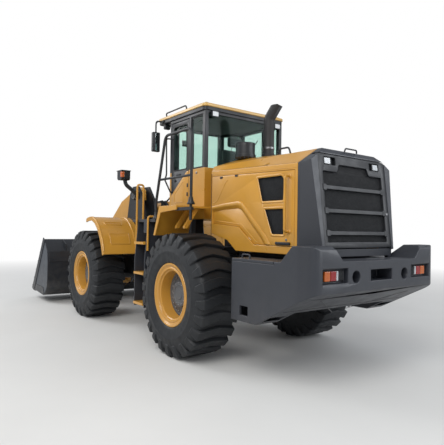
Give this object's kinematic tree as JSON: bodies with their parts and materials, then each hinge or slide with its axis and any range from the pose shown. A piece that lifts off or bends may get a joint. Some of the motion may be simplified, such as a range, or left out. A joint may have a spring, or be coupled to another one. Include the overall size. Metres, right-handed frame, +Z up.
{
  "type": "wheel loader",
  "caption": "Articulated wheel loader with a bucket on lifting arms, an engine hood at the rear and a glazed cab between.",
  "frame": {"origin": "on the ground under the middle of the whole machine, standing straight on its wheels", "axes": "+X forward, +Y to the machine's left, +Z up"},
  "size_m": [8.41, 3.04, 3.475],
  "materials": {
    "body_yellow": "warm yellow gloss paint",
    "rim_yellow": "yellow paint on steel rims",
    "cylinder_yellow": "yellow paint on cylinder barrels",
    "frame_black": "satin charcoal paint",
    "tyre": "new black rubber",
    "tinted_glass": "green-tinted safety glass",
    "chrome_rod": "hard chrome",
    "pin_steel": "plain steel",
    "lamp_lens": "moulded amber, red and clear lens",
    "seat_fabric": "black seat cover"
  },
  "bodies": {
    "rear_frame": {"rear_frame": "frame_black", "counterweight": "frame_black", "tail_lamps": "lamp_lens", "rear_axle": "frame_black", "hood_shell": "body_yellow", "grille_housing": "frame_black", "power_train": "frame_black", "exhaust_stack": "frame_black", "precleaner": "frame_black", "cab_tub": "body_yellow", "cab_pillars": "frame_black", "cab_roof": "body_yellow", "cab_glass": "tinted_glass", "seat": "seat_fabric", "steering_column": "frame_black", "rear_fenders": "body_yellow", "walkways": "frame_black", "ladder_steps": "body_yellow", "platform_rails": "frame_black", "ladder_rails": "body_yellow", "mirrors": "frame_black", "work_lamps": "frame_black"},
    "front_frame": {"front_frame": "frame_black", "front_axle": "frame_black", "front_fenders": "body_yellow", "front_lamps": "frame_black"},
    "wheel_rear_left": {"tyre_rear_left": "tyre", "rim_rear_left": "rim_yellow"},
    "wheel_rear_right": {"tyre_rear_right": "tyre", "rim_rear_right": "rim_yellow"},
    "wheel_front_left": {"tyre_front_left": "tyre", "rim_front_left": "rim_yellow"},
    "wheel_front_right": {"tyre_front_right": "tyre", "rim_front_right": "rim_yellow"},
    "cab_door": {"cab_door": "frame_black", "cab_door_glass": "tinted_glass"},
    "engine_door_left": {"engine_door_left": "body_yellow"},
    "engine_door_right": {"engine_door_right": "body_yellow"},
    "grille_door": {"grille_door": "frame_black"},
    "box_lid_left": {"box_lid_left": "frame_black"},
    "box_lid_right": {"box_lid_right": "frame_black"},
    "boom": {"boom": "body_yellow"},
    "bucket_pins": {"bucket_pins": "pin_steel"},
    "bucket": {"bucket": "frame_black"},
    "crank_pin": {"crank_pin": "pin_steel"},
    "bellcrank": {"bellcrank": "body_yellow"},
    "link_pin": {"link_pin": "pin_steel"},
    "tilt_link": {"tilt_link": "body_yellow"},
    "lift_barrels": {"lift_barrels": "cylinder_yellow"},
    "lift_rods": {"lift_rods": "chrome_rod"},
    "tilt_barrel": {"tilt_barrel": "cylinder_yellow"},
    "tilt_rod": {"tilt_rod": "chrome_rod"},
    "steer_barrel_left": {"steer_barrel_left": "cylinder_yellow"},
    "steer_rod_left": {"steer_rod_left": "chrome_rod"},
    "steer_barrel_right": {"steer_barrel_right": "cylinder_yellow"},
    "steer_rod_right": {"steer_rod_right": "chrome_rod"}
  },
  "joints": [
    {"name": "wheel_rear_left_spin", "type": "hinge", "parent": "rear_frame", "child": "wheel_rear_left", "pos_m": [-2.005, 1.09, 0.8], "axis": [0, 1, 0], "continuous": true},
    {"name": "wheel_rear_right_spin", "type": "hinge", "parent": "rear_frame", "child": "wheel_rear_right", "pos_m": [-2.005, -1.09, 0.8], "axis": [0, 1, 0], "continuous": true},
    {"name": "wheel_front_left_spin", "type": "hinge", "parent": "front_frame", "child": "wheel_front_left", "pos_m": [1.295, 1.09, 0.8], "axis": [0, 1, 0], "continuous": true},
    {"name": "wheel_front_right_spin", "type": "hinge", "parent": "front_frame", "child": "wheel_front_right", "pos_m": [1.295, -1.09, 0.8], "axis": [0, 1, 0], "continuous": true},
    {"name": "articulation", "type": "hinge", "parent": "rear_frame", "child": "front_frame", "pos_m": [-0.355, 0, 1], "axis": [0, 0, 1], "range_deg": [-36, 36]},
    {"name": "engine_door_left_hinge", "type": "hinge", "parent": "rear_frame", "child": "engine_door_left", "pos_m": [-2.105, 0.775, 1.95], "axis": [0, 0, -1], "range_deg": [0, 55]},
    {"name": "engine_door_right_hinge", "type": "hinge", "parent": "rear_frame", "child": "engine_door_right", "pos_m": [-2.105, -0.775, 1.95], "axis": [0, 0, 1], "range_deg": [0, 55]},
    {"name": "cab_door_hinge", "type": "hinge", "parent": "rear_frame", "child": "cab_door", "pos_m": [-1.435, 0.74, 2.5], "axis": [0, 0, 1], "range_deg": [0, 85]},
    {"name": "grille_door_hinge", "type": "hinge", "parent": "rear_frame", "child": "grille_door", "pos_m": [-3.86838, 0.6, 1.975], "axis": [-0.1166, 0, -0.9932], "range_deg": [0, 95]},
    {"name": "box_lid_left_hinge", "type": "hinge", "parent": "rear_frame", "child": "box_lid_left", "pos_m": [-3.71, 0.968, 1.335], "axis": [0, -1, 0], "range_deg": [0, 55]},
    {"name": "box_lid_right_hinge", "type": "hinge", "parent": "rear_frame", "child": "box_lid_right", "pos_m": [-3.71, -0.968, 1.335], "axis": [0, -1, 0], "range_deg": [0, 55]},
    {"name": "boom_lift", "type": "hinge", "parent": "front_frame", "child": "boom", "pos_m": [0.595, 0, 2.28], "axis": [0, -1, 0], "range_deg": [-3, 76]},
    {"name": "bucket_level", "type": "hinge", "parent": "boom", "child": "bucket_pins", "pos_m": [2.825, 0, 0.5], "axis": [0, -1, 0], "range_deg": [-76.02, 3.02]},
    {"name": "bucket_tilt", "type": "hinge", "parent": "bucket_pins", "child": "bucket", "pos_m": [2.825, 0, 0.5], "axis": [0, 1, 0], "range_deg": [-40, 45]},
    {"name": "crank_follow", "type": "hinge", "parent": "boom", "child": "crank_pin", "pos_m": [1.645, 0, 1.6], "axis": [0, -1, 0], "range_deg": [-0.35, 8.3]},
    {"name": "bellcrank_swing", "type": "hinge", "parent": "crank_pin", "child": "bellcrank", "pos_m": [1.645, 0, 1.6], "axis": [0, -1, 0], "range_deg": [-5.58, 6.28]},
    {"name": "link_follow", "type": "hinge", "parent": "bellcrank", "child": "link_pin", "pos_m": [2.394, 0, 0.509], "axis": [0, -1, 0], "range_deg": [-50.64, 2.02]},
    {"name": "link_swing", "type": "hinge", "parent": "link_pin", "child": "tilt_link", "pos_m": [2.394, 0, 0.509], "axis": [0, -1, 0], "range_deg": [-25.09, 22.3]},
    {"name": "lift_barrel_swing", "type": "hinge", "parent": "front_frame", "child": "lift_barrels", "pos_m": [0.295, 0, 1.46], "axis": [0, -1, 0], "range_deg": [-1.98, 49.78]},
    {"name": "lift_rod_slide", "type": "slide", "parent": "lift_barrels", "child": "lift_rods", "axis": [0.9999, 0, -0.016], "range_m": [-0.0315, 0.7935]},
    {"name": "tilt_barrel_swing", "type": "hinge", "parent": "front_frame", "child": "tilt_barrel", "pos_m": [0.415, 0, 2.097], "axis": [0, -1, 0], "range_deg": [-2.6, 65.38]},
    {"name": "tilt_rod_slide", "type": "slide", "parent": "tilt_barrel", "child": "tilt_rod", "axis": [0.9977, 0, -0.0677], "range_m": [-0.0473, 0.0421]},
    {"name": "steer_barrel_left_swing", "type": "hinge", "parent": "rear_frame", "child": "steer_barrel_left", "pos_m": [-0.855, 0.5, 0.96], "axis": [0, 0, 1], "range_deg": [-10.82, 10.82]},
    {"name": "steer_rod_left_slide", "type": "slide", "parent": "steer_barrel_left", "child": "steer_rod_left", "axis": [0.9674, -0.2534, 0], "range_m": [-0.2233, 0.2233]},
    {"name": "steer_barrel_right_swing", "type": "hinge", "parent": "rear_frame", "child": "steer_barrel_right", "pos_m": [-0.855, -0.5, 0.96], "axis": [0, 0, 1], "range_deg": [-10.82, 10.82]},
    {"name": "steer_rod_right_slide", "type": "slide", "parent": "steer_barrel_right", "child": "steer_rod_right", "axis": [0.9674, 0.2534, 0], "range_m": [-0.2233, 0.2233]}
  ],
  "couplings": [
    {"joint": "bucket_level", "follows": "boom_lift", "ratio": -1},
    {"joint": "crank_follow", "follows": "boom_lift", "ratio": 0.109},
    {"joint": "bellcrank_swing", "follows": "bucket_tilt", "ratio": 0.139},
    {"joint": "link_follow", "follows": "boom_lift", "ratio": -0.666},
    {"joint": "link_swing", "follows": "bucket_tilt", "ratio": -0.557},
    {"joint": "lift_barrel_swing", "follows": "boom_lift", "ratio": 0.6547},
    {"joint": "lift_rod_slide", "follows": "boom_lift", "m_per_rad": 0.5981},
    {"joint": "tilt_barrel_swing", "follows": "boom_lift", "ratio": 0.86},
    {"joint": "tilt_rod_slide", "follows": "bucket_tilt", "m_per_rad": -0.06},
    {"joint": "steer_barrel_left_swing", "follows": "articulation", "ratio": 0.3},
    {"joint": "steer_rod_left_slide", "follows": "articulation", "m_per_rad": -0.355},
    {"joint": "steer_barrel_right_swing", "follows": "articulation", "ratio": 0.3},
    {"joint": "steer_rod_right_slide", "follows": "articulation", "m_per_rad": 0.355}
  ]
}
